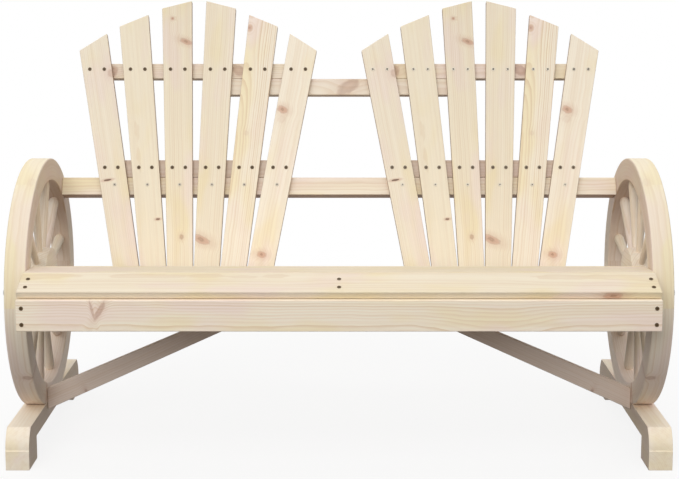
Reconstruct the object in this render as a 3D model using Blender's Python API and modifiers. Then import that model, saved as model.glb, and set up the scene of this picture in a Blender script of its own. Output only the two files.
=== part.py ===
"""A two-seat garden loveseat of bare fir, with a fan back and fixed wooden wheels as its ends.

Metres, +Z up, front towards -Y. The origin lies on the floor, in the middle of the loveseat's footprint.
"""

import math

import bmesh
import bpy
from mathutils import Vector

# Shared sizes
CLEARANCE = 0.0003
EDGE_EASE = 0.0015
CUT_OVERRUN = 0.010
WELD_DISTANCE = 0.00002

# Width between the wheels and the wheels themselves
INNER_WIDTH = 1.1934
WHEEL_RADIUS = 0.254
WHEEL_THICKNESS = 0.0418
WHEEL_FLAT_DEPTH = 0.0171
RIM_WIDTH = 0.045
RIM_EDGE_EASE = 0.003
HUB_RADIUS = 0.070
HUB_EDGE_EASE = 0.002
SPOKE_COUNT = 12
SPOKE_HUB_RADIUS = 0.0065
SPOKE_RIM_RADIUS = 0.0108
SPOKE_TIP_RADIUS = 0.0080
SPOKE_TIP_LENGTH = 0.014
TENON_RADIUS = 0.0050
TENON_LENGTH = 0.0150

# Feet under the wheels, flush with the wheels' inner faces
FOOT_HEIGHT = 0.0803
FOOT_THICKNESS = 0.046
FOOT_FRONT_REACH = 0.260
FOOT_REAR_REACH = 0.277
FOOT_PAD_LENGTH = 0.073
FOOT_ARCH_HEIGHT = 0.0455
TOE_FACE_HEIGHT = 0.039
TOE_RADIUS = 0.053

# Seat
APRON_REACH = 0.343
APRON_THICKNESS = 0.018
APRON_HEIGHT = 0.059
APRON_BOTTOM = 0.295
SEAT_SLAT_THICKNESS = 0.0145
SEAT_SLAT_GAP = 0.0095
SEAT_SETBACK = 0.0107
SEAT_CREST_OVERHANG = 0.0059
SEAT_CREST_STEP = 0.0088
SEAT_BACK_GAP = 0.0229
SEAT_TILTS = (20.0, -3.0, -12.0, -13.0, -14.0)
SIDE_RAIL_THICKNESS = 0.022
SIDE_RAIL_REACH = 0.245
SIDE_RAIL_TAIL_TOP = 0.292
SIDE_RAIL_TAIL_HEIGHT = 0.050
MIDDLE_RAIL_THICKNESS = 0.022

# Backrest, in the plane of the slats' rear faces, with levels from the middle of the long rail
BACK_RECLINE = 20.0
BACK_RAIL_ANGLE = 48.77
BACK_RAIL_INSET = 0.0248
BACK_RAIL_SECTION = 0.038
FAN_OUTER_GAP = 0.0125
FAN_MIDDLE_GAP = 0.0328
FAN_APEX_DROP = 0.987
FAN_TOP_REACHES = (1.3927, 1.3626, 1.3261)
FAN_TOP_SLOPES = (14.8, 23.2, 33.5)
BACK_SLAT_THICKNESS = 0.015
BACK_SLAT_TOP_GAP = 0.0313
BACK_SLAT_FOOT_GAP = 0.0003
BATTEN_THICKNESS = 0.018
UPPER_BATTEN_LEVEL = 0.257
UPPER_BATTEN_HEIGHT = 0.034
UPPER_BATTEN_STOP = 0.0307
LOWER_BATTEN_HEIGHT = 0.038
LOWER_BATTEN_STOP = 0.0707
LINK_RAIL_HEIGHT = 0.0366
LINK_RAIL_STOP = 0.0385
REAR_RAIL_THICKNESS = 0.022
REAR_RAIL_HEIGHT = 0.060
REAR_RAIL_RISE = 0.0103
REAR_RAIL_LAP = 0.033

# Struts from the wheel bottoms to the middle of the seat
STRUT_FOOT_HEIGHT = 0.0438
STRUT_HEAD_HEIGHT = 0.0282
STRUT_END_HEIGHT = 0.0119
STRUT_THICKNESS = 0.015
STRUT_REACH = 0.0756
STRUT_FOOT_LEVEL = 0.0648

# Facets of the round shapes
RIM_FACETS = 96
SPOKE_FACETS = 12
TOE_FACETS = 8

# Angles, in degrees, at which an edge counts as a corner
CORNER_ANGLE = 30.0
SAME_PLANE_ANGLE = 1.0

# Worked out from the sizes above
HALF_INNER = INNER_WIDTH / 2
WHEEL_X = HALF_INNER + WHEEL_THICKNESS / 2
FOOT_X = HALF_INNER + FOOT_THICKNESS / 2
FAN_HALF_WIDTH = (HALF_INNER - FAN_OUTER_GAP - FAN_MIDDLE_GAP) / 2
FAN_OFFSET = FAN_MIDDLE_GAP + FAN_HALF_WIDTH
FAN_PAIRS = len(FAN_TOP_REACHES)
FAN_STEP = math.asin(FAN_HALF_WIDTH / FAN_TOP_REACHES[-1]) / FAN_PAIRS
RIM_INNER_RADIUS = WHEEL_RADIUS - RIM_WIDTH
WHEEL_LEVEL = FOOT_HEIGHT + CLEARANCE + WHEEL_RADIUS - WHEEL_FLAT_DEPTH
WHEEL_Y = (APRON_REACH - FOOT_REAR_REACH) / 2
HUB_APOTHEM = HUB_RADIUS * math.cos(math.pi / SPOKE_COUNT)
FRONT_Y = WHEEL_Y - APRON_REACH
APRON_TOP = APRON_BOTTOM + APRON_HEIGHT
RAIL_FRONT_Y = FRONT_Y + APRON_THICKNESS + CLEARANCE
RECLINE = math.radians(BACK_RECLINE)
BACK_UP = Vector((math.sin(RECLINE), math.cos(RECLINE)))
BACK_FACING = Vector((-math.cos(RECLINE), math.sin(RECLINE)))


def clear_scene():
    for old in list(bpy.data.objects):
        bpy.data.objects.remove(old, do_unlink=True)


def new_collection(name):
    group = bpy.data.collections.new(name)
    bpy.context.scene.collection.children.link(group)
    return group


def wood(name, colour, roughness):
    material = bpy.data.materials.new(name)
    material.use_nodes = True
    shader = material.node_tree.nodes["Principled BSDF"]
    shader.inputs["Base Color"].default_value = (*colour, 1.0)
    shader.inputs["Roughness"].default_value = roughness
    shader.inputs["Metallic"].default_value = 0.0
    return material


def add_object(name, data, material, group, parent=None):
    item = bpy.data.objects.new(name, data)
    group.objects.link(item)
    data.materials.append(material)
    item.parent = parent
    return item


def ease_edges(item, width=EDGE_EASE):
    bevel = item.modifiers.new("eased edges", "BEVEL")
    bevel.width = width
    bevel.segments = 1
    bevel.limit_method = "ANGLE"
    bevel.angle_limit = math.radians(CORNER_ANGLE)


def rounding_nodes():
    """Nodes that shade every face smooth and keep the corners sharp."""
    tree = bpy.data.node_groups.new("smooth with sharp corners", "GeometryNodeTree")
    tree.interface.new_socket("Geometry", in_out="INPUT", socket_type="NodeSocketGeometry")
    tree.interface.new_socket("Geometry", in_out="OUTPUT", socket_type="NodeSocketGeometry")
    start = tree.nodes.new("NodeGroupInput")
    end = tree.nodes.new("NodeGroupOutput")
    smooth = tree.nodes.new("GeometryNodeSetShadeSmooth")
    sharpen = tree.nodes.new("GeometryNodeSetShadeSmooth")
    sharpen.domain = "EDGE"
    sharpen.inputs["Shade Smooth"].default_value = False
    angle = tree.nodes.new("GeometryNodeInputMeshEdgeAngle")
    corner = tree.nodes.new("FunctionNodeCompare")
    corner.operation = "GREATER_THAN"
    corner.inputs["B"].default_value = math.radians(CORNER_ANGLE)
    tree.links.new(angle.outputs["Unsigned Angle"], corner.inputs["A"])
    tree.links.new(corner.outputs["Result"], sharpen.inputs["Selection"])
    tree.links.new(start.outputs["Geometry"], smooth.inputs["Geometry"])
    tree.links.new(smooth.outputs["Geometry"], sharpen.inputs["Geometry"])
    tree.links.new(sharpen.outputs["Geometry"], end.inputs["Geometry"])
    return tree


def shade_round(item):
    """Shades a piece with round stretches smooth. Comes after its other modifiers."""
    tree = bpy.data.node_groups.get("smooth with sharp corners") or rounding_nodes()
    item.modifiers.new("smooth with sharp corners", "NODES").node_group = tree


def box_mesh(name, length, width, thickness):
    mesh = bpy.data.meshes.new(name)
    shape = bmesh.new()
    bmesh.ops.create_cube(shape, size=1.0)
    bmesh.ops.scale(shape, vec=(length, width, thickness), verts=shape.verts)
    shape.to_mesh(mesh)
    shape.free()
    return mesh


def prism_mesh(name, radius, length, sides):
    mesh = bpy.data.meshes.new(name)
    shape = bmesh.new()
    bmesh.ops.create_cone(shape, cap_ends=True, segments=sides,
                          radius1=radius, radius2=radius, depth=length)
    shape.to_mesh(mesh)
    shape.free()
    return mesh


def add_cutter(name, mesh, cutters, parent):
    cutter = bpy.data.objects.new(name, mesh)
    cutters.objects.link(cutter)
    cutter.parent = parent
    cutter.hide_render = True
    cutter.display_type = "WIRE"
    return cutter


def cut(item, cutter):
    boolean = item.modifiers.new("cut " + cutter.name, "BOOLEAN")
    boolean.operation = "DIFFERENCE"
    boolean.solver = "EXACT"
    boolean.object = cutter


def board(name, length, width, thickness, material, group, parent=None):
    """A straight board: length along X, width along Y, thickness along Z."""
    item = add_object(name, box_mesh(name, length, width, thickness), material, group, parent)
    ease_edges(item)
    return item


def plate(name, outline, thickness, material, group, parent=None):
    """A board sawn to an outline in its own XY plane."""
    curve = bpy.data.curves.new(name, "CURVE")
    curve.dimensions = "2D"
    curve.fill_mode = "BOTH"
    curve.extrude = thickness / 2
    spline = curve.splines.new("POLY")
    spline.points.add(len(outline) - 1)
    for point, (x, y) in zip(spline.points, outline):
        point.co = (x, y, 0.0, 1.0)
    spline.use_cyclic_u = True
    item = add_object(name, curve, material, group, parent)
    weld = item.modifiers.new("joined caps", "WELD")
    weld.merge_threshold = WELD_DISTANCE
    flatten = item.modifiers.new("one face per side", "DECIMATE")
    flatten.decimate_type = "DISSOLVE"
    flatten.angle_limit = math.radians(SAME_PLANE_ANGLE)
    ease_edges(item)
    return item


def turned(name, profile, facets, material, group, parent=None, closed=False):
    """A profile of (radius, height) points turned about the object's own Z axis."""
    mesh = bpy.data.meshes.new(name)
    points = [(radius, 0.0, height) for radius, height in profile]
    edges = [(i, i + 1) for i in range(len(points) - 1)]
    if closed:
        edges.append((len(points) - 1, 0))
    mesh.from_pydata(points, edges, [])
    item = add_object(name, mesh, material, group, parent)
    screw = item.modifiers.new("turned", "SCREW")
    screw.axis = "Z"
    screw.steps = facets
    screw.render_steps = facets
    screw.use_merge_vertices = True
    screw.merge_threshold = WELD_DISTANCE
    screw.use_normal_calculate = True
    return item


def add_empty(name, group, location, rotation=(0.0, 0.0, 0.0)):
    empty = bpy.data.objects.new(name, None)
    empty.location = location
    empty.rotation_euler = rotation
    group.objects.link(empty)
    return empty


def spoke_angles():
    """Angles in the wheel's plane, from the rear towards the top, with a gap straight up."""
    step = 2 * math.pi / SPOKE_COUNT
    return [step / 2 + step * i for i in range(SPOKE_COUNT)]


def cut_socket(item, name, near, far, angle, cutters, wheel):
    """Bores a spoke's socket along its line, from radius near to radius far."""
    mesh = prism_mesh(name, TENON_RADIUS + CLEARANCE, far - near, SPOKE_FACETS)
    socket = add_cutter(name, mesh, cutters, wheel)
    middle = (near + far) / 2
    socket.location = (0.0, middle * math.cos(angle), middle * math.sin(angle))
    socket.rotation_euler = (angle - math.pi / 2, 0.0, 0.0)
    cut(item, socket)


def make_rim(side, material, group, cutters, wheel):
    """The rim: a ring of rectangular section, cut flat where it stands on the foot."""
    half = WHEEL_THICKNESS / 2
    ease = RIM_EDGE_EASE
    inner, outer = RIM_INNER_RADIUS, WHEEL_RADIUS
    profile = [
        (outer, half - ease), (outer, ease - half), (outer - ease, -half), (inner + ease, -half),
        (inner, ease - half), (inner, half - ease), (inner + ease, half), (outer - ease, half),
    ]
    rim = turned("rim_" + side, profile, RIM_FACETS, material, group, wheel, closed=True)
    rim.rotation_euler = (0.0, math.pi / 2, 0.0)

    name = "rim_flat_" + side
    mesh = box_mesh(name, WHEEL_THICKNESS + CUT_OVERRUN, 2 * WHEEL_RADIUS, WHEEL_FLAT_DEPTH + CUT_OVERRUN)
    flat = add_cutter(name, mesh, cutters, wheel)
    flat.location = (0.0, 0.0, -WHEEL_RADIUS + (WHEEL_FLAT_DEPTH - CUT_OVERRUN) / 2)
    cut(rim, flat)
    bottom = RIM_INNER_RADIUS + TENON_LENGTH + CLEARANCE
    for number, angle in enumerate(spoke_angles(), start=1):
        name = f"rim_socket_{side}_{number:02d}"
        cut_socket(rim, name, RIM_INNER_RADIUS - CUT_OVERRUN, bottom, angle, cutters, wheel)
    shade_round(rim)


def make_hub(side, material, group, cutters, wheel):
    """The hub block, with one flat for each spoke."""
    name = "hub_" + side
    mesh = prism_mesh(name, HUB_RADIUS, WHEEL_THICKNESS, SPOKE_COUNT)
    hub = add_object(name, mesh, material, group, wheel)
    hub.rotation_euler = (0.0, math.pi / 2, 0.0)
    ease_edges(hub, HUB_EDGE_EASE)
    bottom = HUB_APOTHEM - TENON_LENGTH - CLEARANCE
    for number, angle in enumerate(spoke_angles(), start=1):
        name = f"hub_socket_{side}_{number:02d}"
        cut_socket(hub, name, bottom, HUB_APOTHEM + CUT_OVERRUN, angle, cutters, wheel)


def spoke_profile():
    """Points of a spoke from its rim end down to its hub end, with heights from the wheel's centre."""
    tip_sagitta = RIM_INNER_RADIUS - math.sqrt(RIM_INNER_RADIUS ** 2 - SPOKE_TIP_RADIUS ** 2)
    shoulder = RIM_INNER_RADIUS - CLEARANCE - tip_sagitta
    foot = HUB_APOTHEM + CLEARANCE
    round_rise = SPOKE_RIM_RADIUS - SPOKE_TIP_RADIUS
    return [
        (0.0, RIM_INNER_RADIUS + TENON_LENGTH),
        (TENON_RADIUS, RIM_INNER_RADIUS + TENON_LENGTH),
        (TENON_RADIUS, shoulder),
        (SPOKE_TIP_RADIUS, shoulder),
        (SPOKE_RIM_RADIUS - round_rise / 4, shoulder - SPOKE_TIP_LENGTH / 2),
        (SPOKE_RIM_RADIUS, shoulder - SPOKE_TIP_LENGTH),
        (SPOKE_HUB_RADIUS, foot),
        (TENON_RADIUS, foot),
        (TENON_RADIUS, HUB_APOTHEM - TENON_LENGTH),
        (0.0, HUB_APOTHEM - TENON_LENGTH),
    ]


def make_spokes(side, material, group, wheel):
    for number, angle in enumerate(spoke_angles(), start=1):
        name = f"spoke_{side}_{number:02d}"
        spoke = turned(name, spoke_profile(), SPOKE_FACETS, material, group, wheel)
        spoke.rotation_euler = (angle - math.pi / 2, 0.0, 0.0)
        shade_round(spoke)


def foot_outline():
    """The foot's side view: a block on two pads, with its toes rounded towards the top."""
    front, rear = -FOOT_FRONT_REACH, FOOT_REAR_REACH
    sweep = math.asin((FOOT_HEIGHT - TOE_FACE_HEIGHT) / TOE_RADIUS)
    turns = [sweep * i / TOE_FACETS for i in range(TOE_FACETS + 1)]
    arc = [(TOE_RADIUS - TOE_RADIUS * math.cos(turn), TOE_FACE_HEIGHT + TOE_RADIUS * math.sin(turn))
           for turn in turns]
    outline = [(front, 0.0)]
    outline += [(front + run, rise) for run, rise in arc]
    outline += [(rear - run, rise) for run, rise in reversed(arc)]
    outline += [
        (rear, 0.0),
        (rear - FOOT_PAD_LENGTH, 0.0),
        (rear - FOOT_PAD_LENGTH, FOOT_ARCH_HEIGHT),
        (front + FOOT_PAD_LENGTH, FOOT_ARCH_HEIGHT),
        (front + FOOT_PAD_LENGTH, 0.0),
    ]
    return outline


def upright_plate(name, outline, thickness, x, material, group):
    """A plate in an upright plane from front to back, its outline given in (Y, Z)."""
    item = plate(name, outline, thickness, material, group)
    item.location = (x, 0.0, 0.0)
    item.rotation_euler = (math.pi / 2, 0.0, math.pi / 2)
    return item


def make_wheel_end(side, sign, material, group, cutters):
    """A wheel on its foot, at one end of the loveseat."""
    wheel = add_empty("wheel_" + side, group, (sign * WHEEL_X, WHEEL_Y, WHEEL_LEVEL))
    make_rim(side, material["rim"], group, cutters, wheel)
    make_hub(side, material["hub"], group, cutters, wheel)
    make_spokes(side, material["spoke"], group, wheel)
    outline = [(WHEEL_Y + y, z) for y, z in foot_outline()]
    foot = upright_plate("foot_" + side, outline, FOOT_THICKNESS, sign * FOOT_X, material["foot"], group)
    shade_round(foot)


def back_origin():
    """(Y, Z) where the long rail, whose ends butt the rims, has the middle of its front face."""
    angle = math.radians(BACK_RAIL_ANGLE)
    orbit = WHEEL_RADIUS - BACK_RAIL_INSET
    rail = Vector((WHEEL_Y + orbit * math.cos(angle), WHEEL_LEVEL + orbit * math.sin(angle)))
    return rail + BACK_FACING * (BACK_RAIL_SECTION / 2 + CLEARANCE)


def seat_runs():
    """The direction in (Y, Z) of each seat slat, front slat first."""
    return [Vector((math.cos(math.radians(tilt)), math.sin(math.radians(tilt)))) for tilt in SEAT_TILTS]


def seat_slat_starts():
    """How far behind its own stretch's start each seat slat begins."""
    return [0.0, SEAT_CREST_STEP] + [SEAT_SLAT_GAP / 2] * (len(SEAT_TILTS) - 2)


def seat_stretch_extras():
    """By how much each slat's stretch of the seat line is longer than the slat is wide."""
    half_gap = SEAT_SLAT_GAP / 2
    return [-SEAT_CREST_OVERHANG] + [start + half_gap for start in seat_slat_starts()[1:]]


def seat_front():
    """The lower front edge of the first slat, on top of the apron."""
    return Vector((FRONT_Y + SEAT_SETBACK, APRON_TOP + CLEARANCE))


def seat_slat_width():
    """The width at which the slats fill the seat from the apron to the back."""
    end = seat_front()
    for run, extra in zip(seat_runs(), seat_stretch_extras()):
        end = end + run * extra
    distance = (end - back_origin()).dot(BACK_FACING)
    return (SEAT_BACK_GAP - distance) / sum(run.dot(BACK_FACING) for run in seat_runs())


def seat_line():
    """The line (Y, Z) on which the seat slats lie: one straight stretch for each slat."""
    points = [seat_front()]
    for run, extra in zip(seat_runs(), seat_stretch_extras()):
        points.append(points[-1] + run * (seat_slat_width() + extra))
    return points


def height_on(line, y):
    """The height of a line of (Y, Z) points at one Y."""
    for start, end in zip(line, line[1:]):
        if start.x <= y <= end.x:
            return start.y + (end.y - start.y) * (y - start.x) / (end.x - start.x)
    return line[-1].y


def make_seat(material, group):
    """The seat slats and the apron under the front one."""
    length = INNER_WIDTH - 2 * CLEARANCE
    width = seat_slat_width()
    stretches = zip(seat_line(), seat_runs(), seat_slat_starts())
    for number, (point, run, start) in enumerate(stretches, start=1):
        up = Vector((-run.y, run.x))
        centre = point + run * (start + width / 2) + up * SEAT_SLAT_THICKNESS / 2
        slat = board(f"seat_slat_{number}", length, width, SEAT_SLAT_THICKNESS, material["seat"], group)
        slat.location = (0.0, centre.x, centre.y)
        slat.rotation_euler = (math.atan2(run.y, run.x), 0.0, 0.0)
    apron = board("apron", length, APRON_THICKNESS, APRON_HEIGHT, material["apron"], group)
    apron.location = (0.0, FRONT_Y + APRON_THICKNESS / 2, APRON_BOTTOM + APRON_HEIGHT / 2)


def rail_bottom(y):
    """Height of the straight lower edge that the side rails and the middle rail share."""
    tail_y = WHEEL_Y + SIDE_RAIL_REACH
    tail_z = SIDE_RAIL_TAIL_TOP - SIDE_RAIL_TAIL_HEIGHT
    share = (y - RAIL_FRONT_Y) / (tail_y - RAIL_FRONT_Y)
    return APRON_BOTTOM + (tail_z - APRON_BOTTOM) * share


def where_back_meets(start, end):
    """Where a line in (Y, Z) crosses the plane of the back slats' rear faces."""
    run = end - start
    return start + run * ((back_origin() - start).dot(BACK_FACING) / run.dot(BACK_FACING))


def rail_front():
    """The two corners of the seat rails' front ends, top first."""
    line = seat_line()
    return [Vector((RAIL_FRONT_Y, height_on(line, RAIL_FRONT_Y) - CLEARANCE)),
            Vector((RAIL_FRONT_Y, rail_bottom(RAIL_FRONT_Y)))]


def rail_crest():
    """The bends of the seat rails' upper edges, where the slats change their tilt."""
    return [point + Vector((0.0, -CLEARANCE)) for point in seat_line()[1:]]


def side_rail_tail():
    """The two corners of the side rails' rear ends, top first."""
    tail_y = WHEEL_Y + SIDE_RAIL_REACH
    return [Vector((tail_y, SIDE_RAIL_TAIL_TOP)), Vector((tail_y, rail_bottom(tail_y)))]


def middle_rail_tail():
    """The two corners of the middle rail's rear end, which the back's plane cuts, top first."""
    tail_top, tail_bottom = side_rail_tail()
    return [where_back_meets(rail_crest()[-1], tail_top), where_back_meets(rail_front()[1], tail_bottom)]


def make_seat_rails(material, group):
    """The two side rails on the wheels and the rail under the middle of the seat."""
    front_top, front_bottom = rail_front()
    side_outline = [front_top] + rail_crest() + side_rail_tail() + [front_bottom]
    rail_x = HALF_INNER - CLEARANCE - SIDE_RAIL_THICKNESS / 2
    for side, sign in (("left", -1), ("right", 1)):
        upright_plate("side_rail_" + side, side_outline, SIDE_RAIL_THICKNESS, sign * rail_x,
                      material["frame"], group)
    middle_outline = [front_top] + rail_crest() + middle_rail_tail() + [front_bottom]
    upright_plate("middle_rail", middle_outline, MIDDLE_RAIL_THICKNESS, 0.0, material["frame"], group)


def rear_rail_level():
    """Level of the rear rail's middle: it covers the middle rail's end and stands a little higher."""
    top, bottom = middle_rail_tail()
    return ((top + bottom) / 2 - back_origin()).dot(BACK_UP) + REAR_RAIL_RISE


def fan_foot_reach():
    """From the fan's apex to the slats' feet, which lap over the top of the rear rail."""
    return FAN_APEX_DROP + rear_rail_level() + REAR_RAIL_HEIGHT / 2 - REAR_RAIL_LAP


def make_struts(material, group):
    """The two struts that rise from the wheel bottoms to the middle rail, under a seat slat."""
    outer = HALF_INNER - CLEARANCE
    inner = MIDDLE_RAIL_THICKNESS / 2 + CLEARANCE
    front = WHEEL_Y - STRUT_REACH
    ceiling = height_on(seat_line(), front + STRUT_THICKNESS) - CLEARANCE
    length = outer - inner
    slope = (ceiling - STRUT_END_HEIGHT - STRUT_FOOT_LEVEL) / length
    top_slope = slope - (STRUT_FOOT_HEIGHT - STRUT_HEAD_HEIGHT) / length
    top_reach = outer - (ceiling - STRUT_FOOT_LEVEL - STRUT_FOOT_HEIGHT) / top_slope
    outline = [
        (outer, STRUT_FOOT_LEVEL),
        (inner, ceiling - STRUT_END_HEIGHT),
        (inner, ceiling),
        (top_reach, ceiling),
        (outer, STRUT_FOOT_LEVEL + STRUT_FOOT_HEIGHT),
    ]
    for side, sign in (("left", -1), ("right", 1)):
        points = [(sign * x, z) for x, z in outline]
        if sign > 0:
            points.reverse()
        strut = plate("strut_" + side, points, STRUT_THICKNESS, material["strut"], group)
        strut.location = (0.0, front + STRUT_THICKNESS / 2, 0.0)
        strut.rotation_euler = (math.pi / 2, 0.0, 0.0)


def slat_outline(reach, slope, lean):
    """A back slat's outline: Y runs from the fan's apex along the slat, X across it."""
    foot = fan_foot_reach()
    spread = math.tan(FAN_STEP / 2)
    half_foot = foot * spread - BACK_SLAT_FOOT_GAP / 2
    half_full = FAN_TOP_REACHES[0] * spread - BACK_SLAT_TOP_GAP / 2
    edge = (half_full - half_foot) / (FAN_TOP_REACHES[0] - foot)
    half_top = half_foot + edge * (reach - foot)
    skew = math.tan(math.radians(slope) - lean)
    right = half_top / (1 + edge * skew)
    left = half_top / (1 - edge * skew)
    return [
        (-half_foot, foot), (half_foot, foot),
        (right, reach - right * skew), (-left, reach + left * skew),
    ]


def make_fan(side, sign, material, group, back):
    """One fan of slats with its two battens."""
    centre = sign * FAN_OFFSET
    for number in range(1, 2 * FAN_PAIRS + 1):
        place = number - FAN_PAIRS - 0.5
        pair = int(abs(place))
        direction = 1 if place > 0 else -1
        lean = FAN_STEP * (pair + 0.5)
        outline = slat_outline(FAN_TOP_REACHES[pair], FAN_TOP_SLOPES[pair], lean)
        if direction < 0:
            outline = [(-x, y) for x, y in reversed(outline)]
        name = f"back_slat_{side}_{number}"
        slat = plate(name, outline, BACK_SLAT_THICKNESS, material["back"], group, back)
        slat.location = (centre, -FAN_APEX_DROP, BACK_SLAT_THICKNESS / 2)
        slat.rotation_euler = (0.0, 0.0, -direction * lean)
    depth = -CLEARANCE - BATTEN_THICKNESS / 2
    upper_length = 2 * (FAN_HALF_WIDTH - UPPER_BATTEN_STOP)
    upper = board("upper_batten_" + side, upper_length, UPPER_BATTEN_HEIGHT, BATTEN_THICKNESS,
                  material["batten"], group, back)
    upper.location = (centre, UPPER_BATTEN_LEVEL, depth)
    lower_length = 2 * (FAN_HALF_WIDTH - LOWER_BATTEN_STOP)
    lower = board("lower_batten_" + side, lower_length, LOWER_BATTEN_HEIGHT, BATTEN_THICKNESS,
                  material["batten"], group, back)
    lower.location = (centre, (BACK_RAIL_SECTION + LOWER_BATTEN_HEIGHT) / 2 + CLEARANCE, depth)


def make_back(material, group):
    """The backrest: two fans on the long rail, the link rail and the rear rail."""
    origin = back_origin()
    back = add_empty("back", group, (0.0, origin.x, origin.y), (math.pi / 2 - RECLINE, 0.0, 0.0))
    for side, sign in (("left", -1), ("right", 1)):
        make_fan(side, sign, material, group, back)
    long_rail = board("back_rail", INNER_WIDTH - 2 * CLEARANCE, BACK_RAIL_SECTION, BACK_RAIL_SECTION,
                      material["back rail"], group, back)
    long_rail.location = (0.0, 0.0, -CLEARANCE - BACK_RAIL_SECTION / 2)
    link_length = 2 * (FAN_OFFSET - LINK_RAIL_STOP)
    link = board("link_rail", link_length, LINK_RAIL_HEIGHT, BATTEN_THICKNESS,
                 material["batten"], group, back)
    link_level = UPPER_BATTEN_LEVEL - (UPPER_BATTEN_HEIGHT + LINK_RAIL_HEIGHT) / 2 - CLEARANCE
    link.location = (0.0, link_level, -CLEARANCE - BATTEN_THICKNESS / 2)
    rear_length = INNER_WIDTH - 2 * SIDE_RAIL_THICKNESS - 4 * CLEARANCE
    rear = board("rear_rail", rear_length, REAR_RAIL_HEIGHT, REAR_RAIL_THICKNESS,
                 material["frame"], group, back)
    rear.location = (0.0, rear_rail_level(), -CLEARANCE - REAR_RAIL_THICKNESS / 2)


def make_materials():
    return {
        "rim": wood("fir rim", (0.78, 0.66, 0.48), 0.62),
        "hub": wood("fir hub", (0.74, 0.61, 0.43), 0.62),
        "spoke": wood("fir spoke", (0.79, 0.68, 0.51), 0.58),
        "foot": wood("fir foot", (0.77, 0.65, 0.47), 0.62),
        "seat": wood("fir seat slat", (0.82, 0.71, 0.52), 0.60),
        "apron": wood("fir apron", (0.79, 0.68, 0.50), 0.60),
        "frame": wood("fir frame", (0.74, 0.62, 0.45), 0.64),
        "strut": wood("fir strut", (0.75, 0.63, 0.46), 0.62),
        "back": wood("fir back slat", (0.83, 0.72, 0.53), 0.60),
        "batten": wood("fir batten", (0.76, 0.62, 0.46), 0.62),
        "back rail": wood("fir back rail", (0.77, 0.65, 0.48), 0.62),
    }


def main():
    clear_scene()
    group = new_collection("adirondack_loveseat")
    cutters = new_collection("cutters")
    material = make_materials()
    for side, sign in (("left", -1), ("right", 1)):
        make_wheel_end(side, sign, material, group, cutters)
    make_seat(material, group)
    make_seat_rails(material, group)
    make_struts(material, group)
    make_back(material, group)


main()
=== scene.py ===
import math
import random
from functools import partial
import bmesh
import bpy
from mathutils import Matrix, Vector


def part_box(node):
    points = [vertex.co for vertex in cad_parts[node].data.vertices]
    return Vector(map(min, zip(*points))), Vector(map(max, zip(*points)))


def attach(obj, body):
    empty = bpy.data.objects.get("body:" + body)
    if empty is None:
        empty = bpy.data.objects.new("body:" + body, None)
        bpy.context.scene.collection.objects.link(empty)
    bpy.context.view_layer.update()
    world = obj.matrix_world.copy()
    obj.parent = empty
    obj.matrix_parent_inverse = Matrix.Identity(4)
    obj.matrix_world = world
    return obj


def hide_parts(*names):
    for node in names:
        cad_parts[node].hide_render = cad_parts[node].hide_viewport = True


# A two-seat garden loveseat of planed fir with a fan back and wooden wheels as its ends.
# Metres, front towards -Y, left is -X.

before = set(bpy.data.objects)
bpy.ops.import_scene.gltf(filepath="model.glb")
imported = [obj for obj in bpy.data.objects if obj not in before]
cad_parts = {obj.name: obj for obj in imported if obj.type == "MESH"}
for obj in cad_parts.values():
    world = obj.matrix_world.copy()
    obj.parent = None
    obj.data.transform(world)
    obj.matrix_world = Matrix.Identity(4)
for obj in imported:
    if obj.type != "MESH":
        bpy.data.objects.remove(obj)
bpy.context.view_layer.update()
scene = bpy.context.scene
sides = {"left": -1, "right": 1}
print("frame loaded:", len(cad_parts), "nodes")


def linearColour(code):
    # sRGB hex to the linear values that shaders take
    parts = [int(code[i:i + 2], 16) / 255 for i in (1, 3, 5)]
    return tuple(c / 12.92 if c <= 0.04045 else ((c + 0.055) / 1.055) ** 2.4 for c in parts) + (1.0,)


def fill(node, inputs):
    # sets a node's inputs, or links them to sockets and to other nodes' first live output. A list fills
    # the live inputs in order, and leaves alone those where it says None.
    if isinstance(inputs, dict):
        pairs = [(node.inputs[name], value) for name, value in inputs.items()]
    else:
        pairs = list(zip([socket for socket in node.inputs if socket.enabled], inputs))
    for socket, value in pairs:
        if isinstance(value, bpy.types.Node):
            value = next(output for output in value.outputs if output.enabled)
        if isinstance(value, bpy.types.NodeSocket):
            node.id_data.links.new(value, socket)
        elif value is not None:
            socket.default_value = value


def addNode(tree, kind, inputs=(), **settings):
    node = tree.nodes.new(kind)
    for setting, value in settings.items():
        setattr(node, setting, value)
    fill(node, inputs)
    return node


def newMaterial(name):
    # gives the material, its shader and addNode for its tree
    material = bpy.data.materials.new(name)
    material.use_nodes = True
    return material, material.node_tree.nodes["Principled BSDF"], partial(addNode, material.node_tree)


def middleOf(node):
    low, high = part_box(node)
    return (low + high) / 2


def turned(origin, *turns):
    # a place at the origin, turned by degrees about an axis, one turn after the other
    place = Matrix.Translation(origin)
    for degrees, axis in turns:
        place = place @ Matrix.Rotation(math.radians(degrees), 4, axis)
    return place


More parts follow.
